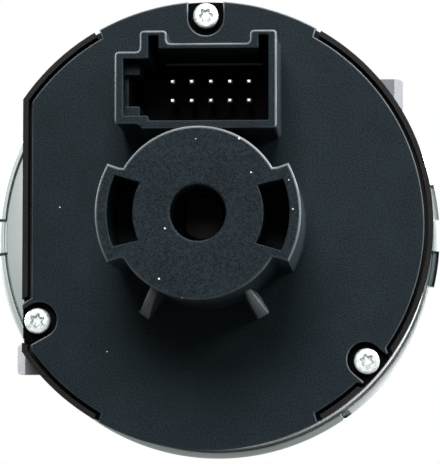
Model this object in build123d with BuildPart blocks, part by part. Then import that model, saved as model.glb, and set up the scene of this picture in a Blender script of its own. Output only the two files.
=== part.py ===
from build123d import *
from math import cos, degrees, radians, sin, sqrt
import os

# Round rotary headlight switch for a dashboard, all sizes in millimetres.
# Y runs along the switch's axis from the driver to the rear, Z is up, and the origin
# is the centre of the plane where the bezel sits on the dashboard.

# Barrel and rear cover
barrel_radius = 30.5
flat_inset = 5.3
barrel_wall = 2.0
barrel_depth = 25.0
floor_thickness = 2.0
cover_inset = 1.2
cover_thickness = 2.2
cover_flat_inset = 1.25
cover_groove = 0.5
flush_half_angle = 29.5

# Hub on the rear cover
hub_radius = 11.05
hub_height = 20.7
lobe_radius = 13.05
lobe_half_angle = 31.5
hub_hole_radius = 3.57
hub_end_wall = 5.7
hub_cavity_radius = 7.6
slot_inner_radius = 8.35
slot_outer_radius = 11.65
slot_half_angle = 24.0
slot_depth = 14.0
rib_angle_from_down = 32.0
rib_reach = 14.9
rib_height = 10.5
rib_root = 1.6
rib_top_reach = 0.1
rib_foot_width = 1.5
rib_top_width = 1.0

# Connector shroud, its sides measured from the axis as seen from the rear
shroud_left = -11.5
shroud_right = 9.8
shroud_top_inset = 7.8
shroud_opening_height = 11.0
shroud_height = 12.0
shroud_wall = 1.1
tab_rise = 1.75
left_tab_from = -8.2
left_tab_to = -4.65
right_tab_from = 6.3
left_bay_foot = 0.65
left_bay_drop = 1.0
bay_lip_depth = 1.5
bay_lip_width = 2.0
bay_lip_below_rim = 2.4
lip_overlap = 0.1
pin_pitch = 2.54
pin_columns = 5
pin_rows = 2
pin_side = 0.64
pin_centre_u = 0.9
pin_centre_rise = 5.45
pin_tip_above_cover = 8.1
pin_taper = 0.8
base_above_cover = 1.0

# Cover screws, as a distance inwards from the barrel's edge and an angle seen from the rear
screw_seats = ((2.0, 90.5), (3.95, 209.4), (2.15, -40.8))
screw_pad_margin = 0.5
screw_head_radius = 1.74
screw_head_height = 1.35
screw_shank_radius = 1.1
screw_length = 9.0
screw_notch_radius = 2.6
screw_notch_depth = 1.2
screw_boss_radius = 2.3
board_shoulder_radius = 3.3
recess_width = 0.62
recess_length = 2.1
recess_depth = 0.9

# Circuit board
board_thickness = 1.6
board_gap = 0.2
board_edge_gap = 0.3
board_hole_radius = 5.9
lamp_side = 1.8
lamp_height = 0.8
chip_height = 1.2
processor_side = 6.0
regulator_size = (7.0, 4.0)
resistor_size = (1.6, 0.9)

# Release cam
cam_sleeve_radius = 9.5
cam_bore_radius = 7.6
cam_plate_radius = 16.4
cam_plate_thickness = 1.8
cam_front = -3.0
cam_turn = 35.0
cam_pin_radius = 14.0
dog_inner_radius = 7.8
dog_outer_radius = 9.3
dog_half_angle = 10.0
dog_rest_gap = 0.6

# Locking bolts
bolt_travel = 3.0
bolt_stand_out = 2.13
bolt_inset = 12.3
bolt_width = 4.1
bolt_plate_thickness = 2.5
bolt_inner_end = 8.0
lug_length = 6.2
lug_corner = 0.5
lug_rear_drop = 5.0
lug_depth = 6.0
lug_ramp = 1.2
arm_width = 3.8
arm_overrun = 1.2
pin_radius = 1.2
bolt_spring_radius = 1.0
bolt_spring_wire = 0.2
bolt_spring_turns = 6
spring_post_width = 2.0
spring_nose = 1.2

# Rotor, sleeve and shaft
rotor_hub_radius = 7.5
rotor_front = 3.0
rotor_flange_radius = 8.6
rotor_flange_thickness = 2.4
detent_step = 22.5
detent_nose_radius = 0.7
sleeve_radius = 5.0
sleeve_flat = 4.2
sleeve_overrun = 1.2
shaft_radius = 3.0
shaft_flat = 2.4
shaft_front = -17.0
shaft_overrun = 2.2
pull_travel = 8.0
push_travel = 3.0
carriage_groove_radius = 4.0
carriage_groove_width = 2.0
carriage_above_cover = 8.0
carriage_radius = 6.3
clip_thickness = 0.8
clip_radius = 4.3
clip_neck_radius = 2.3

# Bezel, fascia and knob
bezel_overhang = 1.7
bezel_section = 5.0
bezel_depth = 9.5
bezel_flange = 1.2
bezel_flange_width = 3.0
bezel_band = 1.2
bezel_groove_width = 0.4
bezel_groove_depth = 0.8
bezel_lip_width = 1.4
fascia_face = 7.0
fascia_thickness = 1.0
well_wall = 0.8
well_gap = 0.6
well_floor = 3.4
well_hole_radius = 10.2
guide_edge_gap = 3.3
guide_thickness = 2.4
guide_leg_radius = 1.4
guide_leg_inset = 1.6
guide_leg_angles = (105.0, 135.0, 285.0, 315.0)
lens_radius = 1.3
lens_angles = (250.0, 290.0)
knob_radius = 15.2
knob_front = 14.5
push_stop_gap = 1.0
knob_wall = 1.6
knob_cavity_depth = 12.5
knob_ring_width = 1.6
knob_ring_depth = 2.8
grip_width = 7.0
grip_height = 8.0
pointer_width = 1.4
pointer_length = 6.0
pointer_thickness = 0.5
push_spring_radius = 4.2
push_spring_wire = 0.35
push_spring_turns = 4

# Clearances
running_gap = 0.05
slide_gap = 0.1
loose_gap = 0.25
seat_gap = 0.1

# Places round the axis that follow from the sizes above
barrel_flat = barrel_radius - flat_inset
cover_radius = barrel_radius - cover_inset
shroud_top = barrel_radius - shroud_top_inset
shroud_bottom = shroud_top - shroud_opening_height
left_bay_bottom = shroud_bottom + left_bay_foot
left_bay_top = shroud_top - left_bay_drop
pin_centre_v = shroud_bottom + pin_centre_rise
bolt_centre_v = barrel_radius - bolt_inset
bolt_tip = sqrt(barrel_radius ** 2 - bolt_centre_v ** 2) + bolt_stand_out
lug_inner_end = bolt_tip - lug_length
bezel_radius = barrel_radius + bezel_overhang
bezel_bore = bezel_radius - bezel_section
bezel_lip_radius = bezel_bore + bezel_lip_width
bezel_flange_bore = bezel_bore - bezel_flange_width
knob_ring_radius = knob_radius + knob_ring_width
knob_cavity_radius = knob_radius - knob_wall
well_radius = knob_ring_radius + well_gap
guide_inner_radius = well_radius + well_wall + slide_gap + loose_gap
guide_outer_radius = bezel_bore - guide_edge_gap
guide_leg_circle = guide_outer_radius - guide_leg_inset

# Levels along Y that follow from the sizes above
cover_face = barrel_depth
cover_inner = cover_face - cover_thickness
board_rear = cover_inner - board_gap
board_front = board_rear - board_thickness
bolt_rear = cover_face - lug_rear_drop - 0.5
bolt_front = bolt_rear - bolt_plate_thickness
cam_rear = bolt_front - 2 * seat_gap
cam_plate_front = cam_rear - cam_plate_thickness
boss_top = cam_plate_front - seat_gap
flange_front = cam_rear + seat_gap
flange_rear = flange_front + rotor_flange_thickness
hub_face = cover_face + hub_height
hub_cavity_end = hub_face - hub_end_wall
shroud_rim = cover_face + shroud_height
notch_floor = cover_face - screw_notch_depth
lug_rear = cover_face - lug_rear_drop
lug_front = lug_rear - lug_depth
leaf_radius = rotor_flange_radius + 0.9
leaf_thickness = 0.3
brush_gap = 0.15
strip_level = carriage_radius + leaf_thickness + brush_gap
carriage_rear = cover_face + carriage_above_cover
sleeve_rear = carriage_rear + sleeve_overrun
shaft_rear = sleeve_rear + shaft_overrun
knob_skirt = well_floor + push_travel + push_stop_gap
dog_window_depth = push_travel + dog_rest_gap


def across(y):
    """Plane square to the axis at a depth, with its own X to the right as seen from the rear."""
    return Plane(origin=(0, y, 0), x_dir=(-1, 0, 0), z_dir=(0, 1, 0))


def polar(radius, angle):
    """Point at a radius and an angle, as seen from the rear."""
    return (radius * cos(radians(angle)), radius * sin(radians(angle)))


def ring_sector(inner, outer, middle, half):
    """Flat sector between two radii, a half angle to each side of a middle direction."""
    with BuildSketch() as face:
        with BuildLine():
            far = CenterArc((0, 0), outer, middle - half, 2 * half)
            near = CenterArc((0, 0), inner, middle - half, 2 * half)
            Line(far @ 0, near @ 0)
            Line(far @ 1, near @ 1)
        make_face()
    return face.sketch


def flatted_disc(radius, flat):
    """Disc with one flat side on the left as seen from the rear."""
    with BuildSketch() as face:
        Circle(radius)
        with Locations((-flat, 0)):
            Rectangle(2 * radius, 2 * radius, align=(Align.MAX, Align.CENTER), mode=Mode.SUBTRACT)
    return face.sketch


def double_flat(radius, flat):
    """Round section with two flats, above and below."""
    with BuildSketch() as face:
        Circle(radius)
        Rectangle(2 * radius, 2 * flat, mode=Mode.INTERSECT)
    return face.sketch


screw_points = [polar(barrel_radius - inset, angle) for inset, angle in screw_seats]


def cover_outline(gap):
    """Outline of the rear cover grown by a gap: inset disc, two flush sectors and the screw pads."""
    with BuildSketch() as pads:
        with Locations(*screw_points):
            Circle(screw_notch_radius + screw_pad_margin + gap)
        add(flatted_disc(barrel_radius, barrel_flat), mode=Mode.INTERSECT)
    grown = flush_half_angle + degrees(gap / barrel_radius)
    with BuildSketch() as face:
        add(flatted_disc(cover_radius + gap, barrel_flat - cover_flat_inset + gap))
        for middle in (90, 270):
            add(ring_sector(cover_radius / 2, barrel_radius, middle, grown))
        add(pads.sketch)
    return face.sketch


def shroud_outline(inset):
    """Keyed outline of the connector shroud as seen from the rear, moved inwards by an inset."""
    left = shroud_left + inset
    right = shroud_right - inset
    bottom = shroud_bottom + inset
    top = shroud_top - inset
    tab_top = shroud_top + tab_rise - inset
    step = left_tab_from + inset
    with BuildSketch() as face:
        with BuildLine():
            Polyline(
                (left, left_bay_bottom + inset),
                (step, left_bay_bottom + inset),
                (step, bottom),
                (right, bottom),
                (right, tab_top),
                (right_tab_from + inset, tab_top),
                (right_tab_from + inset, top),
                (left_tab_to - inset, top),
                (left_tab_to - inset, tab_top),
                (step, tab_top),
                (step, left_bay_top - inset),
                (left, left_bay_top - inset),
                close=True,
            )
        make_face()
    return face.sketch


lip_left = shroud_left + shroud_wall - lip_overlap
lip_width = bay_lip_width + lip_overlap
lip_height = bay_lip_depth + 2 * lip_overlap
lip_tops = [level + lip_overlap for level in (left_bay_top - shroud_wall,
                                              left_bay_bottom + shroud_wall + bay_lip_depth)]
shroud_outer = shroud_outline(0)
shroud_inner = shroud_outline(shroud_wall)
base_outline = shroud_outline(shroud_wall + slide_gap)


# Rear cover: one moulding with the disc, the connector shroud, the hub and two gusset ribs
with BuildPart() as rear_cover:
    with BuildSketch(across(cover_inner)):
        add(cover_outline(0))
    extrude(amount=cover_thickness)
    with BuildSketch(across(cover_face)):
        Circle(hub_radius)
        for middle in (0, 180):
            add(ring_sector(hub_cavity_radius, lobe_radius, middle, lobe_half_angle))
    extrude(amount=hub_height)
    rim = rear_cover.faces().filter_by(Axis.Y).sort_by(Axis.Y)[-1]
    chamfer(rim.edges(), length=0.2)
    for side in (-1, 1):
        angle = -90 + side * rib_angle_from_down
        inner = hub_radius - rib_root
        with BuildSketch(across(cover_face)):
            with Locations(polar((inner + rib_reach) / 2, angle)):
                Rectangle(rib_reach - inner, rib_foot_width, rotation=angle)
        with BuildSketch(across(cover_face + rib_height)):
            with Locations(polar(inner + (rib_root + rib_top_reach) / 2, angle)):
                Rectangle(rib_root + rib_top_reach, rib_top_width, rotation=angle)
        loft()
    with BuildSketch(across(cover_face)):
        add(shroud_outer)
    extrude(amount=shroud_height)
    with BuildSketch(across(cover_inner)):
        add(shroud_inner)
    extrude(amount=cover_thickness + shroud_height, mode=Mode.SUBTRACT)
    shroud_edges = rear_cover.edges().filter_by_position(Axis.Y, shroud_rim - 0.01, shroud_rim + 0.01)
    chamfer(shroud_edges, length=0.18)
    for level in lip_tops:
        with BuildSketch(across(cover_inner)):
            with Locations((lip_left, level)):
                Rectangle(lip_width, lip_height, align=(Align.MIN, Align.MAX))
        extrude(amount=cover_thickness + shroud_height - bay_lip_below_rim)
    with BuildSketch(across(cover_inner)):
        Circle(hub_cavity_radius)
    extrude(amount=hub_cavity_end - cover_inner, mode=Mode.SUBTRACT)
    with BuildSketch(across(hub_cavity_end)):
        Circle(hub_hole_radius)
    extrude(amount=hub_end_wall, mode=Mode.SUBTRACT)
    with BuildSketch(across(hub_face - slot_depth)):
        for middle in (0, 180):
            add(ring_sector(slot_inner_radius, slot_outer_radius, middle, slot_half_angle))
    extrude(amount=slot_depth, mode=Mode.SUBTRACT)
    with BuildSketch(across(notch_floor)):
        for point, seat in zip(screw_points, screw_seats):
            with Locations(point):
                Circle(screw_notch_radius)
                Rectangle(4 * screw_notch_radius, 2 * screw_notch_radius, rotation=seat[1],
                          align=(Align.MIN, Align.CENTER))
    extrude(amount=screw_notch_depth, mode=Mode.SUBTRACT)
    with BuildSketch(across(cover_inner)):
        with Locations(*screw_points):
            Circle(screw_shank_radius + loose_gap)
    extrude(amount=cover_thickness, mode=Mode.SUBTRACT)
rear_cover.part.label = "rear_cover"

# Housing: D-shaped barrel with a front floor, a cam bearing, screw bosses and bolt beds
with BuildPart() as housing:
    with BuildSketch(across(0)):
        add(flatted_disc(barrel_radius, barrel_flat))
    extrude(amount=barrel_depth)
    with BuildSketch(across(floor_thickness)):
        add(flatted_disc(barrel_radius - barrel_wall, barrel_flat - barrel_wall))
    extrude(amount=barrel_depth - floor_thickness, mode=Mode.SUBTRACT)
    with BuildSketch(across(floor_thickness)):
        Circle(cam_sleeve_radius + running_gap + 1.5)
    extrude(amount=boss_top - floor_thickness)
    with BuildSketch(across(0)):
        Circle(cam_sleeve_radius + running_gap)
    extrude(amount=boss_top, mode=Mode.SUBTRACT)
    with BuildSketch(across(floor_thickness)):
        with Locations(*screw_points):
            Circle(board_shoulder_radius)
        add(flatted_disc(barrel_radius - 0.5, barrel_flat - 0.5), mode=Mode.INTERSECT)
    extrude(amount=board_front - floor_thickness)
    with BuildSketch(across(floor_thickness)):
        with Locations(*screw_points):
            Circle(screw_boss_radius)
        add(flatted_disc(barrel_radius - 0.5, barrel_flat - 0.5), mode=Mode.INTERSECT)
    extrude(amount=cover_inner - floor_thickness)
    with BuildSketch(across(cover_inner)):
        add(cover_outline(cover_groove))
    extrude(amount=cover_thickness, mode=Mode.SUBTRACT)
    with BuildSketch(across(notch_floor - screw_length)):
        with Locations(*screw_points):
            Circle(screw_shank_radius + 0.02)
    extrude(amount=screw_length, mode=Mode.SUBTRACT)
    for side in (-1, 1):
        with BuildSketch(across(floor_thickness)):
            for station in (bolt_inner_end + bolt_travel + 1, lug_inner_end - bolt_travel - 1.8):
                with Locations((side * station, side * bolt_centre_v)):
                    Rectangle(1.5, bolt_width - 0.6)
        extrude(amount=bolt_front - seat_gap - floor_thickness)
        with BuildSketch(across(floor_thickness)):
            with Locations((0, side * bolt_centre_v)):
                Rectangle(spring_post_width, bolt_width - 1.0)
        extrude(amount=bolt_rear - floor_thickness)
        with BuildSketch(across(lug_front - slide_gap)):
            with Locations((side * barrel_radius, side * bolt_centre_v)):
                Rectangle(barrel_radius - lug_inner_end + bolt_travel, bolt_width + 2 * slide_gap,
                          align=(Align.MAX if side > 0 else Align.MIN, Align.CENTER))
        extrude(amount=lug_depth + 2 * slide_gap, mode=Mode.SUBTRACT)
    with BuildSketch(across(0)):
        for angle in guide_leg_angles:
            with Locations(polar(guide_leg_circle, angle)):
                Circle(guide_leg_radius + loose_gap)
    extrude(amount=floor_thickness, mode=Mode.SUBTRACT)
housing.part.label = "housing"

# Cover screws: pan heads with a six-lobed recess
screws = []
for number, point in enumerate(screw_points):
    with BuildPart() as screw:
        with BuildSketch(across(notch_floor)):
            with Locations(point):
                Circle(screw_head_radius)
        extrude(amount=screw_head_height)
        head_edge = screw.edges().group_by(Axis.Y)[-1]
        fillet(head_edge, radius=0.35)
        with BuildSketch(across(notch_floor + screw_head_height - recess_depth)):
            with Locations(point):
                for turn in (0, 60, 120):
                    Rectangle(recess_length, recess_width, rotation=turn + 20 * number)
        extrude(amount=recess_depth, mode=Mode.SUBTRACT)
        with BuildSketch(across(notch_floor)):
            with Locations(point):
                Circle(screw_shank_radius)
        extrude(amount=-screw_length + 0.5)
    screws.append(screw.part)
with BuildPart() as cover_screws:
    add(screws)
cover_screws.part.label = "cover_screws"

# Circuit board with its lamps and chips
with BuildPart() as circuit_board:
    with BuildSketch(across(board_front)):
        add(flatted_disc(barrel_radius - barrel_wall - board_edge_gap,
                         barrel_flat - barrel_wall - board_edge_gap))
        Circle(board_hole_radius, mode=Mode.SUBTRACT)
        with Locations(*screw_points):
            Circle(screw_boss_radius + loose_gap, mode=Mode.SUBTRACT)
    extrude(amount=board_thickness)
    with BuildSketch(across(board_front)):
        with Locations((pin_centre_u, pin_centre_v)):
            with GridLocations(pin_pitch, pin_pitch, pin_columns, pin_rows):
                Rectangle(pin_side + 0.1, pin_side + 0.1)
    extrude(amount=board_thickness, mode=Mode.SUBTRACT)
circuit_board.part.label = "circuit_board"

with BuildPart() as lamps:
    with BuildSketch(across(board_front - lamp_height)):
        for angle in guide_leg_angles:
            with Locations(polar(guide_leg_circle, angle)):
                Rectangle(lamp_side, lamp_side)
    extrude(amount=lamp_height)
lamps.part.label = "lamps"

with BuildPart() as board_chips:
    with BuildSketch(across(board_front - chip_height)):
        with Locations((-12.5, 10.0)):
            Rectangle(processor_side, processor_side)
        with Locations((12.5, -10.0)):
            Rectangle(*regulator_size)
        with Locations((-6.0, 13.8), (6.0, -13.8), (9.5, -15.0)):
            Rectangle(*resistor_size)
    extrude(amount=chip_height)
board_chips.part.label = "board_chips"

# Connector: insulator on the board and ten square pins with tapered tips
with BuildPart() as connector_base:
    with BuildSketch(across(board_rear)):
        add(base_outline)
        for level in lip_tops:
            with Locations((lip_left, level + slide_gap)):
                Rectangle(lip_width + slide_gap, lip_height + 2 * slide_gap,
                          align=(Align.MIN, Align.MAX), mode=Mode.SUBTRACT)
        with Locations((pin_centre_u, pin_centre_v)):
            with GridLocations(pin_pitch, pin_pitch, pin_columns, pin_rows):
                Rectangle(pin_side + 0.04, pin_side + 0.04, mode=Mode.SUBTRACT)
    extrude(amount=cover_face + base_above_cover - board_rear)
connector_base.part.label = "connector_base"

pin_tip = cover_face + pin_tip_above_cover
with BuildPart() as connector_pins:
    with BuildSketch(across(board_front - 0.6)):
        with Locations((pin_centre_u, pin_centre_v)):
            with GridLocations(pin_pitch, pin_pitch, pin_columns, pin_rows):
                Rectangle(pin_side, pin_side)
    extrude(amount=pin_tip - board_front + 0.6)
    chamfer(connector_pins.edges().group_by(Axis.Y)[-1], length=pin_taper, length2=0.16)
connector_pins.part.label = "connector_pins"

# Release cam: sleeve in the housing's bearing, with two spiral slots in its rear plate
slot_half_width = pin_radius + slide_gap


def spiral_slot(middle):
    """Slot whose centre line falls evenly from the pin's radius by the bolts' travel over the cam's turn."""
    steps = 6
    over = 1.0
    outer = []
    inner = []
    for step in range(steps + 1):
        turn = -over + (cam_turn + 2 * over) * step / steps
        radius = cam_pin_radius - bolt_travel * turn / cam_turn
        outer.append(polar(radius + slot_half_width, middle - turn))
        inner.append(polar(radius - slot_half_width, middle - turn))
    with BuildSketch() as face:
        with BuildLine():
            far = Spline(*outer)
            near = Spline(*inner)
            Line(far @ 0, near @ 0)
            Line(far @ 1, near @ 1)
        make_face()
        for turn in (-over, cam_turn + over):
            radius = cam_pin_radius - bolt_travel * turn / cam_turn
            with Locations(polar(radius, middle - turn)):
                Circle(slot_half_width)
    return face.sketch


window_early = dog_half_angle + detent_step + cam_turn + 1.0
window_late = dog_half_angle + 2 * detent_step + 1.0
cam_slots = [spiral_slot(0), spiral_slot(180)]
with BuildPart() as release_cam:
    with BuildSketch(across(cam_front)):
        Circle(cam_sleeve_radius)
    extrude(amount=cam_rear - cam_front)
    with BuildSketch(across(cam_plate_front)):
        Circle(cam_plate_radius)
    extrude(amount=cam_plate_thickness)
    with BuildSketch(across(cam_front)):
        Circle(cam_bore_radius)
    extrude(amount=cam_rear - cam_front, mode=Mode.SUBTRACT)
    with BuildSketch(across(cam_plate_front)):
        for slot in cam_slots:
            add(slot)
    extrude(amount=cam_plate_thickness, mode=Mode.SUBTRACT)
    with BuildSketch(across(cam_front)):
        for middle in (90, 270):
            add(ring_sector(cam_bore_radius - 1, cam_sleeve_radius + 1,
                            middle + (window_late - window_early) / 2,
                            (window_late + window_early) / 2))
    extrude(amount=dog_window_depth, mode=Mode.SUBTRACT)
release_cam.part.label = "release_cam"


# Locking bolts: one each side, the lower the upper turned half round
def locking_bolt(side):
    """Flat slide with a ramped lug at its outer end and an arm that carries the cam pin."""
    with BuildPart() as bolt:
        with BuildSketch(across(bolt_front)):
            with Locations((side * (bolt_inner_end + lug_inner_end) / 2, side * bolt_centre_v)):
                Rectangle(lug_inner_end - bolt_inner_end, bolt_width)
            with Locations((side * cam_pin_radius, side * (bolt_centre_v - arm_overrun) / 2)):
                Rectangle(arm_width, bolt_centre_v + arm_overrun)
        extrude(amount=bolt_plate_thickness)
        with BuildSketch(across(lug_front)):
            with Locations((side * (lug_inner_end + bolt_tip) / 2, side * bolt_centre_v)):
                RectangleRounded(lug_length, bolt_width, lug_corner)
        extrude(amount=lug_depth)
        with BuildSketch(Plane.XY.offset(side * bolt_centre_v)):
            with BuildLine():
                Polyline(
                    (-side * (bolt_tip + 0.1), lug_rear - lug_ramp - 0.1),
                    (-side * (bolt_tip + 0.1), lug_rear + 0.1),
                    (-side * (bolt_tip - lug_ramp - 0.1), lug_rear + 0.1),
                    close=True,
                )
            make_face()
        extrude(amount=bolt_width, both=True, mode=Mode.SUBTRACT)
        with BuildSketch(across(cam_plate_front + seat_gap)):
            with Locations((side * cam_pin_radius, 0)):
                Circle(pin_radius)
        extrude(amount=bolt_front - cam_plate_front - seat_gap)
        nose_plane = Plane(
            origin=(-side * bolt_inner_end, (bolt_front + bolt_rear) / 2, side * bolt_centre_v),
            z_dir=(side, 0, 0),
        )
        with BuildSketch(nose_plane):
            Circle(bolt_spring_radius - bolt_spring_wire - slide_gap)
        extrude(amount=spring_nose)
    return bolt.part


lock_bolt_upper = locking_bolt(1)
lock_bolt_upper.label = "lock_bolt_upper"
lock_bolt_lower = locking_bolt(-1)
lock_bolt_lower.label = "lock_bolt_lower"


def bolt_spring(side):
    """Coil spring between the housing's post and the inner end of a bolt."""
    start = spring_post_width / 2 + bolt_spring_wire
    length = bolt_inner_end - spring_post_width / 2 - 2 * bolt_spring_wire
    with BuildPart() as spring:
        with BuildLine() as path:
            Helix(
                pitch=length / bolt_spring_turns,
                height=length,
                radius=bolt_spring_radius,
                center=(-side * start, (bolt_front + bolt_rear) / 2, side * bolt_centre_v),
                direction=(-side, 0, 0),
            )
        with BuildSketch(Plane(origin=path.line @ 0, z_dir=path.line % 0)):
            RegularPolygon(bolt_spring_wire, 6)
        sweep()
    return spring.part


bolt_spring_upper = bolt_spring(1)
bolt_spring_upper.label = "bolt_spring_upper"
bolt_spring_lower = bolt_spring(-1)
bolt_spring_lower.label = "bolt_spring_lower"

# Rotor: contact carrier with four detent notches in its flange
sleeve_bore = double_flat(sleeve_radius + running_gap, sleeve_flat + running_gap)
with BuildPart() as rotor:
    with BuildSketch(across(rotor_front)):
        Circle(rotor_hub_radius)
    extrude(amount=flange_rear - rotor_front)
    with BuildSketch(across(flange_front)):
        Circle(rotor_flange_radius)
        for position in (-1, 0, 1, 2):
            with Locations(polar(rotor_flange_radius, 90 - position * detent_step)):
                Circle(detent_nose_radius + 0.1, mode=Mode.SUBTRACT)
    extrude(amount=rotor_flange_thickness)
    with BuildSketch(across(rotor_front)):
        add(sleeve_bore)
    extrude(amount=flange_rear - rotor_front, mode=Mode.SUBTRACT)
rotor.part.label = "rotor"

wiper_gap = 0.1
wiper_inner = rotor_flange_radius - 2.2
wiper_half_angle = 20
wiper_foot_half_angle = 4
with BuildPart() as rotor_wipers:
    for middle in (30, 150, 270):
        with BuildSketch(across(flange_rear)):
            add(ring_sector(wiper_inner, rotor_flange_radius, middle, wiper_half_angle))
        extrude(amount=leaf_thickness)
        with BuildSketch(across(flange_rear)):
            add(ring_sector(wiper_inner, rotor_flange_radius,
                            middle + wiper_half_angle - wiper_foot_half_angle, wiper_foot_half_angle))
        extrude(amount=board_front - wiper_gap - flange_rear)
rotor_wipers.part.label = "rotor_wipers"

# Detent spring: leaf soldered to the board, with a nose in the rotor's notch
leaf_half = 5.5
with BuildPart() as detent_spring:
    with BuildSketch(across(flange_front + 0.2)):
        with Locations((1.0, leaf_radius + leaf_thickness / 2)):
            Rectangle(2 * leaf_half, leaf_thickness)
        with Locations((0, leaf_radius - 0.2)):
            Circle(detent_nose_radius)
        with Locations((0, leaf_radius + leaf_thickness)):
            Rectangle(2, 2, align=(Align.CENTER, Align.MIN), mode=Mode.SUBTRACT)
    extrude(amount=2.0)
    with BuildSketch(across(flange_front + 0.2)):
        with Locations((1.0 + leaf_half, leaf_radius + leaf_thickness / 2)):
            Rectangle(1.2, 1.6)
    extrude(amount=board_front - flange_front - 0.2)
detent_spring.part.label = "detent_spring"

# Pull sleeve: turns with the knob and slides in the rotor, with a groove for the carriage
sleeve_front = cam_front
groove_middle = carriage_rear - carriage_groove_width / 2
with BuildPart() as pull_sleeve:
    with BuildSketch(across(sleeve_front)):
        add(double_flat(sleeve_radius, sleeve_flat))
    extrude(amount=sleeve_rear - sleeve_front)
    with BuildSketch(across(carriage_rear - carriage_groove_width)):
        Circle(2 * sleeve_radius)
        Circle(carriage_groove_radius, mode=Mode.SUBTRACT)
    extrude(amount=carriage_groove_width, mode=Mode.SUBTRACT)
    with BuildSketch(across(sleeve_front)):
        add(flatted_disc(shaft_radius + running_gap, shaft_flat + running_gap))
    extrude(amount=sleeve_rear - sleeve_front, mode=Mode.SUBTRACT)
pull_sleeve.part.label = "pull_sleeve"

# Knob shaft with a flat along it and a neck for the clip
clip_front = sleeve_rear + seat_gap
with BuildPart() as knob_shaft:
    with BuildSketch(across(shaft_front)):
        add(flatted_disc(shaft_radius, shaft_flat))
    extrude(amount=shaft_rear - shaft_front)
    with BuildSketch(across(clip_front)):
        Circle(2 * shaft_radius)
        Circle(clip_neck_radius, mode=Mode.SUBTRACT)
    extrude(amount=clip_thickness, mode=Mode.SUBTRACT)
    chamfer(knob_shaft.edges().group_by(Axis.Y)[-1], length=0.3)
knob_shaft.part.label = "knob_shaft"

with BuildPart() as retaining_clip:
    with BuildSketch(across(clip_front + 0.02)):
        Circle(clip_radius)
        Circle(clip_neck_radius + 0.03, mode=Mode.SUBTRACT)
        with Locations((0, -clip_radius)):
            Rectangle(1.8 * clip_neck_radius, 2 * clip_radius, mode=Mode.SUBTRACT)
    extrude(amount=clip_thickness - 0.04)
retaining_clip.part.label = "retaining_clip"

# Fog lamp carriage: horseshoe in the sleeve's groove, with its brush and fixed strips
carriage_front = carriage_rear - carriage_groove_width + seat_gap
carriage_thickness = carriage_groove_width - 2 * seat_gap
nose_level = -carriage_radius - 0.45
brush_width = 4.4
brush_length = 3.4
with BuildPart() as fog_carriage:
    with BuildSketch(across(carriage_front)):
        Circle(carriage_radius)
        with Locations((0, nose_level)):
            Rectangle(2.0, 1.0, align=(Align.CENTER, Align.MIN))
        Circle(carriage_groove_radius + slide_gap, mode=Mode.SUBTRACT)
        Rectangle(2 * carriage_radius, 2 * (carriage_groove_radius + slide_gap),
                  align=(Align.MAX, Align.CENTER), mode=Mode.SUBTRACT)
    extrude(amount=carriage_thickness)
    with BuildSketch(across(carriage_front)):
        with Locations((0, carriage_radius)):
            Rectangle(brush_width, 1.2, align=(Align.CENTER, Align.MAX))
    extrude(amount=brush_length)
fog_carriage.part.label = "fog_carriage"

with BuildPart() as carriage_brush:
    with BuildSketch(across(carriage_front)):
        with Locations((0, carriage_radius)):
            Rectangle(brush_width, leaf_thickness, align=(Align.CENTER, Align.MIN))
    extrude(amount=brush_length)
carriage_brush.part.label = "carriage_brush"

strip_rear = hub_cavity_end - 1.0
with BuildPart() as fog_contacts:
    with BuildSketch(across(board_rear)):
        with Locations((-1.35, strip_level), (1.35, strip_level)):
            Rectangle(1.6, leaf_thickness, align=(Align.CENTER, Align.MIN))
    extrude(amount=strip_rear - board_rear)
fog_contacts.part.label = "fog_contacts"

# Pull detent: leaf standing on the board, with a dimple for each of the three pull positions
leaf_level = nose_level + 0.2
dimple = 0.3
with BuildPart() as pull_detent:
    with BuildSketch(Plane.YZ):
        with BuildLine() as wave:
            stations = [board_rear]
            heights = [leaf_level]
            for stop in (2, 1, 0):
                middle = groove_middle - stop * pull_travel / 2
                stations += [middle - 1.25, middle - 1.05, middle + 1.05, middle + 1.25]
                heights += [leaf_level, leaf_level - dimple, leaf_level - dimple, leaf_level]
            stations.append(strip_rear)
            heights.append(leaf_level)
            points = list(zip(stations, heights))
            back = [(y, z - 0.8 * leaf_thickness) for y, z in reversed(points)]
            Polyline(*points, *back, close=True)
        make_face()
    extrude(amount=1.1, both=True)
pull_detent.part.label = "pull_detent"

# Bezel ring: hollow plated ring whose rear flange sits between the housing and the fascia
rim_inner = bezel_radius - bezel_band
with BuildPart() as bezel_ring:
    with BuildSketch(Plane.XY):
        with BuildLine():
            outside = Polyline(
                (bezel_flange_bore, 0),
                (rim_inner - bezel_groove_width, 0),
                (rim_inner - bezel_groove_width, -bezel_groove_depth),
                (rim_inner, -bezel_groove_depth),
                (rim_inner, 0),
                (bezel_radius, 0),
                (bezel_radius, -1.0),
            )
            ThreePointArc(
                outside @ 1,
                (bezel_radius - 0.95, -bezel_depth * 0.62),
                (bezel_lip_radius + 0.5, -bezel_depth),
            )
            Polyline(
                (bezel_lip_radius + 0.5, -bezel_depth),
                (bezel_lip_radius - 0.4, -bezel_depth),
                (bezel_bore, -fascia_face - 0.6),
                (bezel_bore, -bezel_flange),
                (bezel_flange_bore, -bezel_flange),
                (bezel_flange_bore, 0),
            )
        make_face()
    revolve(axis=Axis.Y)
bezel_ring.part.label = "bezel_ring"

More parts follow.
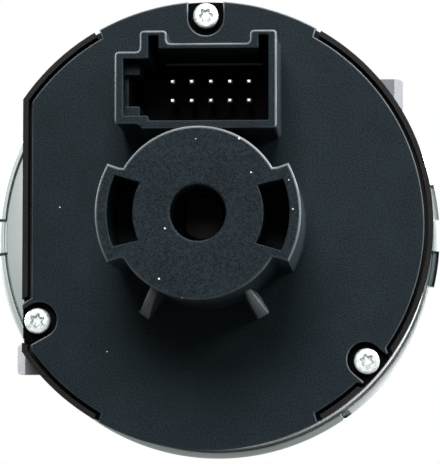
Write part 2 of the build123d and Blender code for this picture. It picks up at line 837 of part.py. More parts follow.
# Fascia: black dished ring with a well for the knob and two tell-tale windows
fascia_radius = bezel_bore - slide_gap
lens_points = [polar(guide_leg_circle, angle) for angle in lens_angles]
with BuildPart() as fascia:
    with BuildSketch(Plane.XY):
        with BuildLine():
            Polyline(
                (well_radius, -fascia_face),
                (fascia_radius, -fascia_face),
                (fascia_radius, -bezel_flange),
                (fascia_radius - 1.0, -bezel_flange),
                (fascia_radius - 1.0, -fascia_face + fascia_thickness),
                (well_radius + well_wall, -fascia_face + fascia_thickness),
                (well_radius + well_wall, -well_floor + fascia_thickness),
                (well_hole_radius, -well_floor + fascia_thickness),
                (well_hole_radius, -well_floor),
                (well_radius, -well_floor),
                close=True,
            )
        make_face()
    revolve(axis=Axis.Y)
    with BuildSketch(across(-fascia_face)):
        with Locations(*lens_points):
            Circle(lens_radius + 0.03)
    extrude(amount=fascia_thickness, mode=Mode.SUBTRACT)
fascia.part.label = "fascia"

guide_front = -fascia_face + fascia_thickness + 0.1
with BuildPart() as light_guide:
    with BuildSketch(across(guide_front)):
        Circle(guide_outer_radius)
        Circle(guide_inner_radius, mode=Mode.SUBTRACT)
    extrude(amount=guide_thickness)
    with BuildSketch(across(guide_front + guide_thickness)):
        for angle in guide_leg_angles:
            with Locations(polar(guide_leg_circle, angle)):
                Circle(guide_leg_radius)
    extrude(amount=board_front - lamp_height - 0.3 - guide_front - guide_thickness)
light_guide.part.label = "light_guide"


def tell_tale(point):
    """Small domed window in the fascia."""
    with BuildPart() as lens:
        with BuildSketch(across(-fascia_face)):
            with Locations(point):
                Circle(lens_radius)
        extrude(amount=fascia_thickness)
        chamfer(lens.edges().group_by(Axis.Y)[0], length=0.15)
    return lens.part


fog_lens_front = tell_tale(lens_points[0])
fog_lens_front.label = "fog_lens_front"
fog_lens_rear = tell_tale(lens_points[1])
fog_lens_rear.label = "fog_lens_rear"

# Knob: hollow cap with a grip bar, two release dogs and a socket for the shaft
dog_end = cam_front - dog_rest_gap
with BuildPart() as knob_cap:
    with BuildSketch(across(-knob_front)):
        Circle(knob_radius)
    extrude(amount=knob_front - knob_skirt)
    chamfer(knob_cap.edges().group_by(Axis.Y)[0], length=0.8)
    with BuildSketch(across(-knob_front)):
        RectangleRounded(grip_width, 2 * knob_radius - 2.4, 2.2)
    extrude(amount=-grip_height, taper=4)
    fillet(knob_cap.edges().group_by(Axis.Y)[0], radius=0.8)
    with BuildSketch(across(-knob_cavity_depth)):
        Circle(knob_cavity_radius)
    extrude(amount=knob_cavity_depth - knob_skirt, mode=Mode.SUBTRACT)
    with BuildSketch(across(-knob_cavity_depth - 0.1)):
        for middle in (90, 270):
            add(ring_sector(dog_inner_radius, dog_outer_radius, middle, dog_half_angle))
    extrude(amount=dog_end + knob_cavity_depth + 0.1)
    with BuildSketch(across(shaft_front)):
        add(flatted_disc(shaft_radius + 0.02, shaft_flat + 0.02))
    extrude(amount=-shaft_front - knob_cavity_depth, mode=Mode.SUBTRACT)
    with BuildSketch(across(-knob_front - grip_height)):
        with Locations((0, knob_radius - 1.2 - 1.6 - pointer_length / 2)):
            Rectangle(pointer_width + 0.06, pointer_length + 0.06)
    extrude(amount=pointer_thickness, mode=Mode.SUBTRACT)
knob_cap.part.label = "knob_cap"

with BuildPart() as knob_pointer:
    with BuildSketch(across(-knob_front - grip_height)):
        with Locations((0, knob_radius - 1.2 - 1.6 - pointer_length / 2)):
            Rectangle(pointer_width, pointer_length)
    extrude(amount=pointer_thickness)
knob_pointer.part.label = "knob_pointer"

with BuildPart() as knob_ring:
    with BuildSketch(across(-knob_skirt - knob_ring_depth)):
        Circle(knob_ring_radius)
        Circle(knob_radius + 0.03, mode=Mode.SUBTRACT)
    extrude(amount=knob_ring_depth)
    front_edges = knob_ring.edges().group_by(Axis.Y)[0].sort_by(SortBy.RADIUS)
    fillet(front_edges[-1], radius=0.9)
knob_ring.part.label = "knob_ring"

with BuildPart() as push_spring:
    spring_length = knob_cavity_depth + sleeve_front - 2 * push_spring_wire
    with BuildLine() as coil:
        Helix(
            pitch=spring_length / push_spring_turns,
            height=spring_length,
            radius=push_spring_radius,
            center=(0, -knob_cavity_depth + push_spring_wire, 0),
            direction=(0, 1, 0),
        )
    with BuildSketch(Plane(origin=coil.line @ 0, z_dir=coil.line % 0)):
        RegularPolygon(push_spring_wire, 6)
    sweep()
push_spring.part.label = "push_spring"

pieces = [
    rear_cover.part, housing.part, cover_screws.part, circuit_board.part, lamps.part, board_chips.part,
    connector_base.part, connector_pins.part, release_cam.part, lock_bolt_upper, lock_bolt_lower,
    bolt_spring_upper, bolt_spring_lower, rotor.part, rotor_wipers.part, detent_spring.part,
    pull_sleeve.part, knob_shaft.part, retaining_clip.part, fog_carriage.part, carriage_brush.part,
    fog_contacts.part, pull_detent.part, bezel_ring.part, fascia.part, light_guide.part,
    fog_lens_front, fog_lens_rear, knob_cap.part, knob_pointer.part, knob_ring.part, push_spring.part,
]
os.makedirs("parts", exist_ok=True)
for piece in pieces:
    export_step(piece, f"parts/{piece.label}.step")
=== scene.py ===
import math

import bmesh
import bpy
import numpy as np
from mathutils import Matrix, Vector
from mathutils.geometry import tessellate_polygon


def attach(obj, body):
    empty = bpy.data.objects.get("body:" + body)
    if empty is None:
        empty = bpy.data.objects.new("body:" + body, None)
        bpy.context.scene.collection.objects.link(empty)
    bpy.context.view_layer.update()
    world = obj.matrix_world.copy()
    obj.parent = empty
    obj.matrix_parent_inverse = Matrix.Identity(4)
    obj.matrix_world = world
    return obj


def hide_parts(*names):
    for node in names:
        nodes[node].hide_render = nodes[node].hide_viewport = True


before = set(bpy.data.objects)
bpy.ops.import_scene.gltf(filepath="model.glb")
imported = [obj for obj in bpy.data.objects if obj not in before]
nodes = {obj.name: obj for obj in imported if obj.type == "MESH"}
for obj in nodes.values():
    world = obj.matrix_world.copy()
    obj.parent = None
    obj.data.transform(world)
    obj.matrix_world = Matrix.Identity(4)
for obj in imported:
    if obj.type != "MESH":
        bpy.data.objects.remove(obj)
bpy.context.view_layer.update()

# Camera: a long lens behind the switch, a little to the right of its axis and below it,
# aimed near the middle of the rear cover, for a picture of 440 by 464 pixels.
PICTURE_HEIGHT = 464
SENSOR = 36.0
COVER_LEVEL = 0.025
CAMERA_PLACE = Vector((-0.0200, 0.355, -0.0240))
CAMERA_AIM = Vector((-0.00170, COVER_LEVEL, -0.00105))
PIXEL_AT_COVER = 0.0001353

sight = CAMERA_AIM - CAMERA_PLACE
camera_data = bpy.data.cameras.new("view")
camera_data.sensor_width = SENSOR
camera_data.lens = sight.length / PIXEL_AT_COVER * SENSOR / PICTURE_HEIGHT
camera_data.clip_start = 0.01
camera = bpy.data.objects.new("view", camera_data)
camera.location = CAMERA_PLACE
camera.rotation_euler = sight.to_track_quat("-Z", "Y").to_euler()
bpy.context.scene.collection.objects.link(camera)
bpy.context.scene.camera = camera


# Housing: an open barrel moulded in black glass-filled plastic, with a flat on one side and
# windows for the locking bolts. Every other piece is pressed, clipped or screwed into it.
class Value:
    """A number on a shader socket, so that sums of numbers are written as sums."""

    def __init__(self, maker, socket):
        self.maker = maker
        self.socket = socket

    def combine(self, operation, first, second):
        """The sum, difference or product of two values or numbers."""
        return self.maker.node("ShaderNodeMath", {"operation": operation}, {0: first, 1: second})

    def __add__(self, other):
        return self.combine("ADD", self, other)

    def __radd__(self, other):
        return self.combine("ADD", other, self)

    def __sub__(self, other):
        return self.combine("SUBTRACT", self, other)

    def __rsub__(self, other):
        return self.combine("SUBTRACT", other, self)

    def __mul__(self, other):
        return self.combine("MULTIPLY", self, other)

    def __rmul__(self, other):
        return self.combine("MULTIPLY", other, self)

    def clamped(self):
        """The same value, kept from 0 to 1."""
        return self.maker.node("ShaderNodeClamp", {}, {"Value": self})


class NodeMaker:
    """Makes the nodes of one node tree, of a material or of the world."""

    def __init__(self, tree):
        self.tree = tree

    def node(self, kind, settings, inputs, output=0):
        """Makes one node: its settings come first, then the value or link of each socket."""
        made = self.tree.nodes.new(kind)
        for name, setting in settings.items():
            setattr(made, name, setting)
        for name, value in inputs.items():
            self.feed(made.inputs[name], value)
        return Value(self, made.outputs[output])

    def feed(self, socket, value):
        """Links a socket to a value, or sets the number on it."""
        if isinstance(value, Value):
            self.tree.links.new(value.socket, socket)
        else:
            socket.default_value = value


class Finish(NodeMaker):
    """One material: it makes its nodes, and holds the surface that they feed."""

    def __init__(self, name, colour, roughness, metallic=0.0, specular=0.5):
        self.material = bpy.data.materials.new(name)
        self.material.use_nodes = True
        super().__init__(self.material.node_tree)
        self.surface = self.tree.nodes["Principled BSDF"]
        self.set(Base_Color=(*colour, 1.0), Roughness=roughness, Metallic=metallic,
                 Specular_IOR_Level=specular)

    def place(self):
        """Where a point of the surface lies in the object's own space."""
        return self.node("ShaderNodeTexCoord", {}, {}, output="Object")

    def wear(self):
        """The mesh's painted-light value at a point of the surface: painted highlight, painted
        shade or a darker tone.
        """
        return self.node("ShaderNodeAttribute", {"attribute_name": "wear"}, {}, output="Fac")

    def noise(self, size, detail=2.0):
        """Cloudy pattern from 0 to 1, with patches about as wide as a size in metres."""
        return self.node("ShaderNodeTexNoise", {},
                         {"Vector": self.place(), "Scale": 1.0 / size, "Detail": detail})

    def blend(self, mask, first, second):
        """Colour that runs from the first to the second as the mask goes from 0 to 1."""
        ends = [end if isinstance(end, Value) else (*end, 1.0) for end in (first, second)]
        return self.node("ShaderNodeMix", {"data_type": "RGBA"},
                         {0: mask, 6: ends[0], 7: ends[1]}, output=2)

    def speck(self, point, size):
        """Mask that is 1 within about a size in metres of one point, and 0 beyond it."""
        away = self.node("ShaderNodeVectorMath", {"operation": "DISTANCE"},
                         {0: self.place(), 1: point}, output="Value")
        return (2.0 - away * (1.0 / size)).clamped()

    def bump(self, height, depth):
        """Normal bent by a height pattern, at a depth in metres."""
        return self.node("ShaderNodeBump", {}, {"Height": height, "Distance": depth})

    def set(self, **inputs):
        """Feeds the surface's sockets, named with underscores for blanks."""
        for name, value in inputs.items():
            self.feed(self.surface.inputs[name.replace("_", " ")], value)


MM = 0.001
SHADE_BLACK = (0.0004, 0.0005, 0.0006)
SHEEN_GREY = (0.115, 0.125, 0.135)
DUST_GREY = (0.62, 0.65, 0.66)


def tinted(colour, share):
    """A colour made darker or lighter by one share."""
    return tuple(share * part for part in colour)


def moulded_black(name, tone, roughness, specks=()):
    """Satin moulded plastic: a fine eroded grain, faint cloudy changes of tone and gloss, a pale
    painted highlight on rims where the mesh's painted-light value is above 0, painted shade, near
    black, in hollows where it is below, and specks of dust, each given as right, up, back and size
    in millimetres, from the rear."""
    finish = Finish(name, tone, roughness, specular=0.045)
    clouds = finish.noise(0.005, detail=4.0)
    fine = finish.noise(0.0002, detail=1.0)
    wear = finish.wear()
    # Painted highlight where the painted-light value is above 0: paler and glossier, in soft
    # clouds. Painted shade where it is below 0: near black and duller.
    painted_sheen = (wear * (clouds * 1.5 + 0.05)).clamped()
    hollow = (wear * -1.0).clamped()
    shade = (clouds * 0.5 + fine * 2.2 - 0.87).clamped()
    grained = finish.blend(shade, tinted(tone, 0.35), tinted(tone, 1.70))
    colour = finish.blend(painted_sheen, finish.blend(hollow, grained, SHADE_BLACK), SHEEN_GREY)
    if specks:
        dust = sum(finish.speck((-right * MM, back * MM, up * MM), size * MM)
                   for right, up, back, size in specks)
        colour = finish.blend(dust.clamped(), colour, DUST_GREY)
    gloss = clouds * 0.10 + fine * 0.12 + (roughness - 0.11)
    finish.set(Base_Color=colour, Roughness=gloss - painted_sheen * 0.22 + hollow * 0.3,
               Normal=finish.bump(fine, 0.000006))
    return finish


def dress(node_names, finish):
    """Gives each CAD node its material."""
    for node_name in node_names:
        slots = nodes[node_name].data.materials
        slots.clear()
        slots.append(finish.material)


housing_plastic = moulded_black("housing_plastic", (0.0098, 0.0097, 0.0100), 0.50)
dress(["housing"], housing_plastic)


# Locking bolts: two slides moulded in light grey, low-friction plastic. They sit in channels of
# the housing, and their sloping ends snap out behind the panel.
def even_finish(name, colour, roughness, metallic=0.0, specular=0.5):
    """Finish of a small part: its shade and gloss drift a little in soft clouds, round the given
    colour and roughness, over a fine grain."""
    finish = Finish(name, colour, roughness, metallic, specular)
    clouds = finish.noise(0.0015, detail=3.0)
    finish.set(Base_Color=finish.blend(clouds, tinted(colour, 0.86), tinted(colour, 1.14)),
               Roughness=clouds * 0.14 + (roughness - 0.07),
               Normal=finish.bump(finish.noise(0.00025, detail=1.0), 0.000003))
    return finish


slide_grey = even_finish("bolt_grey", (0.062, 0.068, 0.076), 0.45)
dress(["lock_bolt_upper", "lock_bolt_lower"], slide_grey)

# Springs: coils of steel wire push the bolts and the knob out, and two leaves of steel strip
# click in the notches of the rotor and of the fog-light slide.
spring_steel = even_finish("spring_steel", (0.55, 0.55, 0.56), 0.3, metallic=1.0)
dress(["bolt_spring_upper", "bolt_spring_lower", "push_spring", "detent_spring", "pull_detent"],
      spring_steel)

# Release cam, contact rotor and fog-light slide: moulded in natural white plastic. The cam and the
# rotor turn about the switch's axis, and the slide runs in guides inside the housing.
white_slide = even_finish("white_slide", (0.62, 0.61, 0.57), 0.45)
dress(["release_cam", "rotor", "fog_carriage"], white_slide)

# Contacts: the rotor's wipers, the slide's brush and its fixed strips are stamped from brass
# strip, and are held by small studs of the plastic that carries them.
brass = even_finish("contact_brass", (0.78, 0.58, 0.28), 0.3, metallic=1.0)
dress(["rotor_wipers", "carriage_brush", "fog_contacts"], brass)

# Knob shaft, pull sleeve and clip: moulded in black plastic. The shaft's flats turn the sleeve,
# and the clip snaps on the end of the shaft and keeps it in.
shaft_black = even_finish("shaft_black", (0.003, 0.003, 0.0033), 0.6, specular=0.06)
dress(["knob_shaft", "pull_sleeve", "retaining_clip"], shaft_black)

# Circuit board: glass-fibre laminate under green lacquer, which lies on ledges of the housing,
# with black moulded chips soldered on it.
board_green = even_finish("board_green", (0.012, 0.055, 0.028), 0.4)
dress(["circuit_board"], board_green)
dress(["board_chips"], shaft_black)

# Light guide and lamps: small white lamps are soldered on the board, and a ring of clear plastic
# with legs, clipped in behind the fascia, carries their light to the marks.
clear_guide = even_finish("clear_guide", (0.85, 0.86, 0.86), 0.15)
dress(["light_guide"], clear_guide)
dress(["lamps"], white_slide)

# Tell-tale lenses: two small windows of dyed clear plastic, green and amber, pressed into the
# fascia from behind.
green_lens = even_finish("green_lens", (0.03, 0.25, 0.08), 0.12)
dress(["fog_lens_front"], green_lens)
amber_lens = even_finish("amber_lens", (0.55, 0.22, 0.02), 0.12)
dress(["fog_lens_rear"], amber_lens)

# Fascia: the front plate is moulded satin black, and its marks are printed white: a dot at the
# first stop, a plain 0 for off, a lamp with rays each way for the side lights and a half-round
# lamp with beams for the headlights, each where the pointer comes to rest.
fascia_black = moulded_black("fascia_black", (0.0075, 0.0075, 0.008), 0.42)
dress(["fascia"], fascia_black)

FASCIA_FACE = -7.0
STOP_ANGLES = (-22.5, 0.0, 22.5, 45.0)
MARK_CIRCLE = 22.2
MARK_THICK = 0.04
MARK_STROKE = 0.22
DOT_RADIUS = 0.34
OFF_RADIUS = 0.62
OFF_TALL = 1.45
SIDE_RADIUS = 0.5
RAY_TURN = 0.6
RAY_START = 0.95
RAY_END = 1.55
BEAM_RADIUS = 0.85
BEAM_CUT = 0.25
BEAM_START = -0.62
BEAM_FALL = 0.25
BEAM_LEVELS = (0.66, 0.22, -0.22, -0.66)


def polar(radius, angle):
    """Points at radii and angles in degrees, as seen from the rear."""
    turn = np.radians(angle)
    return np.stack(np.broadcast_arrays(radius * np.cos(turn), radius * np.sin(turn)), axis=-1)


def arc(radius, start, end, middle=(0.0, 0.0), step=2.5):
    """Points of an arc round a middle point, about one for each step of degrees."""
    count = max(3, int(abs(end - start) / step) + 1)
    return polar(radius, np.linspace(start, end, count)) + np.array(middle)


def circle(radius, middle=(0.0, 0.0), count=96):
    """Closed ring of points, anticlockwise as seen from the rear."""
    return polar(radius, np.arange(count) * 360.0 / count) + np.array(middle)


def oblong(middle, length, width, turn, corner, steps=3):
    """Closed rounded rectangle round a middle point, turned by an angle in degrees: a quarter
    circle stands in each corner, at half the sides less the corner's radius."""
    far, high = length / 2 - corner, width / 2 - corner
    places = [(far, high), (-far, high), (-far, -high), (far, -high)]
    flat = np.concatenate([arc(corner, 90.0 * quarter, 90.0 * quarter + 90.0, place, 90.0 / steps)
                           for quarter, place in enumerate(places)])
    ahead = polar(1.0, turn)
    return flat[:, :1] * ahead + flat[:, 1:] * np.array([-ahead[1], ahead[0]]) + np.array(middle)


def outward(loop):
    """Mitred outward direction at each point of a closed anticlockwise loop:
    the sum of its two sides' unit normals, over one plus the cosine between them."""
    ahead = np.roll(loop, -1, axis=0) - loop
    ahead /= np.linalg.norm(ahead, axis=1, keepdims=True)
    normal = np.stack([ahead[:, 1], -ahead[:, 0]], axis=1)
    before = np.roll(normal, 1, axis=0)
    spread = 1.0 + np.sum(normal * before, axis=1, keepdims=True)
    return (normal + before) / np.maximum(spread, 0.35)


def raised(loop, level):
    """Points of a flat loop as places in space: right is -X, up is Z and the level runs along Y."""
    return np.column_stack([-loop[:, 0], np.broadcast_to(level, len(loop)), loop[:, 1]])


class Shell:
    """Gathers the closed surface of a moulding from walls and flat caps, in millimetres."""

    def __init__(self):
        self.points = []
        self.faces = []
        self.sheen_shade_values = []
        self.count = 0

    def take(self, points, faces, wear):
        """Adds points with their painted-light values, and the faces between them."""
        self.points.append(points)
        self.sheen_shade_values.append(np.broadcast_to(wear, len(points)))
        self.faces.extend((faces + self.count).tolist())
        self.count += len(points)

    def skin(self, rings, wear=0.0):
        """Side walls through closed rings of equally many points, each anticlockwise as seen
        from the end that the rings run towards, with one painted-light value or one for each point."""
        size = len(rings[0])
        here = np.arange(size)
        there = np.roll(here, -1)
        quads = [np.column_stack([here, there, there + size, here + size]) + size * ring
                 for ring in range(len(rings) - 1)]
        self.take(np.concatenate(rings), np.concatenate(quads),
                  np.broadcast_to(wear, (len(rings), size)).ravel())

    def wall(self, loop, steps):
        """Wall round a loop: each step gives how far the loop grows, its level along Y and, if
        wanted, its painted-light value. A value above 0 is painted highlight, made strongest where
        the wall faces up and right, towards the lamps: it is multiplied by 0.60 + 0.50 up + 0.16
        right, kept from 0.3 to 1.15."""
        away = outward(loop)
        facing = np.clip(0.60 + 0.50 * away[:, 1] + 0.16 * away[:, 0], 0.3, 1.15)
        wears = [step[2] if len(step) > 2 else 0.0 for step in steps]
        self.skin([raised(loop + step[0] * away, step[1]) for step in steps],
                  np.array([wear * facing if wear > 0 else np.full(len(loop), wear)
                            for wear in wears]))

    def cap(self, loops, level, facing=1, wear=0.0):
        """Flat face at a level inside the first loop and outside the others."""
        flat = np.concatenate(loops)
        level_loops = [np.pad(loop, ((0, 0), (0, 1))).tolist() for loop in loops]
        triangles = np.array(tessellate_polygon(level_loops))
        a, b, c = (flat[triangles[:, corner]] for corner in range(3))
        turn = (b - a)[:, 0] * (c - a)[:, 1] - (b - a)[:, 1] * (c - a)[:, 0]
        wrong = turn * facing < 0
        triangles[wrong] = triangles[wrong][:, ::-1]
        self.take(raised(flat, level), triangles, wear)

    def build(self, name, finish, smooth=35.0):
        """Makes the object in metres, welded, with its flat caps flat and its walls smooth where
        their faces meet below an angle in degrees."""
        mesh = bpy.data.meshes.new(name)
        mesh.from_pydata(np.concatenate(self.points) * MM, [], self.faces)
        sheen_shade_values = mesh.attributes.new("wear", "FLOAT", "POINT")
        sheen_shade_values.data.foreach_set("value", np.concatenate(self.sheen_shade_values))
        work = bmesh.new()
        work.from_mesh(mesh)
        bmesh.ops.remove_doubles(work, verts=work.verts, dist=1e-6)
        work.to_mesh(mesh)
        work.free()
        mesh.set_sharp_from_angle(angle=math.radians(smooth))
        normals = np.empty(3 * len(mesh.polygons), dtype=np.float32)
        mesh.polygons.foreach_get("normal", normals)
        mesh.polygons.foreach_set("use_smooth", np.abs(normals[1::3]) < 0.9999)
        mesh.materials.append(finish.material)
        made = bpy.data.objects.new(name, mesh)
        bpy.context.scene.collection.objects.link(made)
        return made


def bar(start, end):
    """Outline of one straight printed stroke with round ends, between two points."""
    along = np.subtract(end, start)
    length = float(np.linalg.norm(along)) + MARK_STROKE
    turn = math.degrees(math.atan2(along[1], along[0]))
    return [oblong(np.add(start, end) / 2, length, MARK_STROKE, turn, MARK_STROKE * 0.45)]


def hoop(radius, tall=1.0, cut=0.0):
    """Outlines of a printed ring: a circle half a stroke larger and one half a stroke smaller,
    stretched upwards by a share, and flat on the left at the distance of a cut."""
    loops = []
    for grow in (MARK_STROKE / 2, -MARK_STROKE / 2):
        loop = circle(radius + grow, count=40) * (1.0, (radius * tall + grow) / (radius + grow))
        if cut:
            loop[:, 0] = np.maximum(loop[:, 0], -cut - grow)
        loops.append(loop)
    return [loops[0], loops[1][::-1]]


stop_mark = [[circle(DOT_RADIUS, count=24)]]
off_mark = [hoop(OFF_RADIUS, OFF_TALL)]
side_mark = [hoop(SIDE_RADIUS)] + [
    bar((side * RAY_START * math.cos(turn), RAY_START * math.sin(turn)),
        (side * RAY_END * math.cos(turn), RAY_END * math.sin(turn)))
    for side in (-1, 1) for turn in (-RAY_TURN, 0.0, RAY_TURN)]
beam_mark = [hoop(BEAM_RADIUS, cut=BEAM_CUT)] + [
    bar((BEAM_START, level), (-RAY_END, level - BEAM_FALL)) for level in BEAM_LEVELS]
mark_shell = Shell()
for stop_angle, mark in zip(STOP_ANGLES, (stop_mark, off_mark, side_mark, beam_mark)):
    seat = polar(MARK_CIRCLE, 90.0 + stop_angle)
    for loops in mark:
        placed = [(loop * (-1.0, 1.0))[::-1] + seat for loop in loops]
        for placed_loop in placed:
            mark_shell.wall(placed_loop, [(0.0, FASCIA_FACE - MARK_THICK), (0.0, FASCIA_FACE)])
        mark_shell.cap(placed, FASCIA_FACE - MARK_THICK, facing=-1)
        mark_shell.cap(placed, FASCIA_FACE)
mark_white = even_finish("mark_white", (0.72, 0.73, 0.72), 0.5)
marks = mark_shell.build("fascia_marks", mark_white)
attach(marks, "switch_body")

# Bezel ring: one hollow moulding in bright plated plastic, pressed over the front of the housing.
# Its back has an outer rim with a few low cuts, a narrow groove that two lands cross, and a lip
# that stands round the barrel.
plating = Finish("bezel_plating", (0.40, 0.44, 0.435), 0.35, metallic=0.45)
# Painted light on the plating: where the mesh's value is below 0, a painted highlight in pale
# silver, on the rim's bright lower right side and on the lip; where it is above 0, painted shade in
# dark grey, in the groove and in one rim cut, and a darker, more metallic tone on the front.
plating_sheen_shade = plating.wear()
painted_highlight = (plating_sheen_shade * -1.0).clamped()
silver = plating.blend(painted_highlight, (0.31, 0.345, 0.34), (0.88, 0.92, 0.95))
plating.set(Base_Color=plating.blend(plating_sheen_shade.clamped(), silver, (0.10, 0.125, 0.13)),
            Metallic=(plating_sheen_shade * 1.8 + 0.45).clamped(),
            Roughness=plating.noise(0.004) * 0.10 + 0.30)

BARREL_RADIUS = 30.5
BARREL_FLAT = 25.2
BEZEL_PROFILE = (
    (24.2, -1.2), (27.2, -1.2), (27.2, -7.6), (28.1, -9.4), (28.3, -9.5), (28.8, -9.5),
    (29.1, -9.5), (29.9, -8.5), (30.7, -7.2), (31.4, -5.7), (31.85, -4.2), (32.12, -2.6),
    (32.2, -0.7), (32.12, -0.38), (31.95, -0.18), (31.7, -0.06), (31.42, 0.0), (31.3, -0.02),
    (31.24, -0.12), (31.2, -1.1), (30.97, -1.1), (30.93, -0.36), (30.6, -0.28), (29.6, -0.08),
    (28.4, 0.0), (24.2, 0.0))
GROOVE_FLOOR = -1.1
LAND_LEVEL = -0.2
LAND_HALF = 4.3
LAND_END_HALF = 0.3
RIM_START = 31.22
RIM_CUT_FROM = -0.5
RIM_PAINT_FROM = -1.0
CUT_DEPTH = 0.9
CUT_HALF = 4.4
NICK_ANGLE = -54.4
NICK_HALF = 0.9
# On the bright side the rim gets painted highlight and the groove less painted shade.
BRIGHT_ANGLE = -34.0
BRIGHT_HALF = 20.4
FRONT_START = -2.0
FRONT_TONE = 0.28
GROOVE_SHADE = 0.8
BRIGHT_SIDE_GROOVE_SHADE = 0.22
RIM_HIGHLIGHT = -0.55
LIP_HIGHLIGHT = -0.9
LIP_GAP = 0.06
LIP_WIDTH = 0.28
LIP_ROUND = 0.14
LIP_BASE = -0.45
LIP_TOP = 0.22
turn_about = np.linspace(0.0, 360.0, 720, endpoint=False)


def near(angle, middle, half):
    """True where an angle lies within a half angle of a middle direction, in degrees."""
    return np.abs((angle - middle + 180.0) % 360.0 - 180.0) < half


right_land = near(turn_about, 0.0, LAND_HALF)
left_land = near(turn_about, 180.0, LAND_HALF)
land = right_land | left_land
land_end = (near(turn_about, 180.0 - LAND_HALF, LAND_END_HALF)
            | near(turn_about, 180.0 + LAND_HALF, LAND_END_HALF))
upper_cut = near(turn_about, LAND_HALF + CUT_HALF, CUT_HALF)
dark_cut = near(turn_about, -LAND_HALF - CUT_HALF, CUT_HALF)
nick = near(turn_about, NICK_ANGLE, NICK_HALF)
bright_side = near(turn_about, BRIGHT_ANGLE, BRIGHT_HALF)


def bezel_level(radius, level):
    """Level round the ring of one profile point: lands fill the groove, cuts lower the rim."""
    if level == GROOVE_FLOOR:
        return np.where(land, LAND_LEVEL, level)
    if radius > RIM_START and level > RIM_CUT_FROM:
        return np.where(upper_cut | dark_cut | nick | land_end, level - CUT_DEPTH, level)
    return np.full(len(turn_about), level)


def bezel_wear(radius, level):
    """Painted-light value round the ring of one profile point: the groove and one cut get painted
    shade, the rim gets a painted highlight on its bright side, and the front is a little darker
    than the back."""
    if level == GROOVE_FLOOR:
        return np.where(land, 0.0, np.where(bright_side, BRIGHT_SIDE_GROOVE_SHADE, GROOVE_SHADE))
    if radius > RIM_START and level > RIM_PAINT_FROM:
        return np.where(dark_cut, 1.0, np.where(bright_side, RIM_HIGHLIGHT, 0.0))
    return np.full(len(turn_about), FRONT_TONE if level < FRONT_START else 0.0)


def flatted(radius, flat):
    """Reach round the axis of a circle with one flat on its left: the smaller of the radius and
    flat / -cos(angle)."""
    across = np.maximum(-np.cos(np.radians(turn_about)), 1e-6)
    return np.minimum(radius, flat / across)


def grown(loop, distance):
    """A loop moved outwards by a distance."""
    return loop + distance * outward(loop)


def rounded(radius, level, wear=1.0, steps=4):
    """Steps of a quarter round that ends a wall at a level: sin and cos of equal turns, with
    a painted highlight, a painted-light value that is strongest at its middle."""
    turns = np.linspace(0.0, math.pi / 2, steps + 1)
    return [(-radius * (1 - math.cos(turn)), level - radius * (1 - math.sin(turn)),
             wear * math.sin(2.0 * turn)) for turn in turns]


bezel_shell = Shell()
bezel_rings = [raised(polar(radius, turn_about), bezel_level(radius, level))
               for radius, level in BEZEL_PROFILE + BEZEL_PROFILE[:1]]
bezel_shell.skin(bezel_rings, np.array([bezel_wear(radius, level)
                                        for radius, level in BEZEL_PROFILE + BEZEL_PROFILE[:1]]))
lip_loop = polar(flatted(BARREL_RADIUS + LIP_GAP, BARREL_FLAT + LIP_GAP), turn_about)
# The lip's rounded top gets a near-white painted highlight.
bezel_shell.wall(lip_loop, [(LIP_WIDTH, LIP_BASE)] + [
    (LIP_WIDTH + out, level, LIP_HIGHLIGHT) for out, level, _ in rounded(LIP_ROUND, LIP_TOP)])
bezel_shell.wall(lip_loop[::-1], [(0.0, LIP_BASE), (0.0, LIP_TOP, LIP_HIGHLIGHT)])
bezel_shell.cap([grown(lip_loop, LIP_WIDTH - LIP_ROUND), lip_loop[::-1]], LIP_TOP, wear=LIP_HIGHLIGHT)
bezel_shell.cap([grown(lip_loop, LIP_WIDTH), lip_loop[::-1]], LIP_BASE, facing=-1)
bezel = bezel_shell.build("bezel_ring_plated", plating, smooth=28.0)
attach(bezel, "switch_body")
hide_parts("bezel_ring")

# Knob: a satin black cap with a turned and plated ring pressed on it and a white pointer pressed
# into its front. It clips on the end of the shaft.
dress(["knob_cap"], fascia_black)
ring_satin = even_finish("ring_satin", (0.40, 0.42, 0.42), 0.32, metallic=0.85)
dress(["knob_ring"], ring_satin)
dress(["knob_pointer"], white_slide)

# Connector: ten square tinned pins, soldered in the board, stand in two rows in a black moulded
# base, coloured near pure black as painted shade in the socket. The pins' shafts are painted dark
# as shade, and only the points are bright.
socket_shade_black = even_finish("socket_shade_black", (0.0016, 0.0009, 0.0009), 0.8, specular=0.02)
dress(["connector_base"], socket_shade_black)

PIN_PITCH = 2.54
PIN_MIDDLE = (0.9, 17.15)
PIN_SIDE = 0.64
POINT_SIDE = 0.36
END_SIDE = 0.22
PIN_ROOT = 20.4
PIN_SHOULDER = 32.3
PIN_TIP = 33.1
BRIGHT_FROM = 0.0324
BRIGHT_SLOPE = 2500.0
tin = Finish("pin_tin", (0.9, 0.88, 0.84), 0.30, metallic=0.6)
# Painted shade: the tin is coloured near black below a height, down the shafts in the socket, and
# bright only at the points.
pin_height = tin.node("ShaderNodeSeparateXYZ", {}, {0: tin.place()}, output="Y")
bright = ((pin_height - BRIGHT_FROM) * BRIGHT_SLOPE).clamped()
tin.set(Base_Color=tin.blend(bright, (0.006, 0.005, 0.005), (0.95, 0.94, 0.90)))

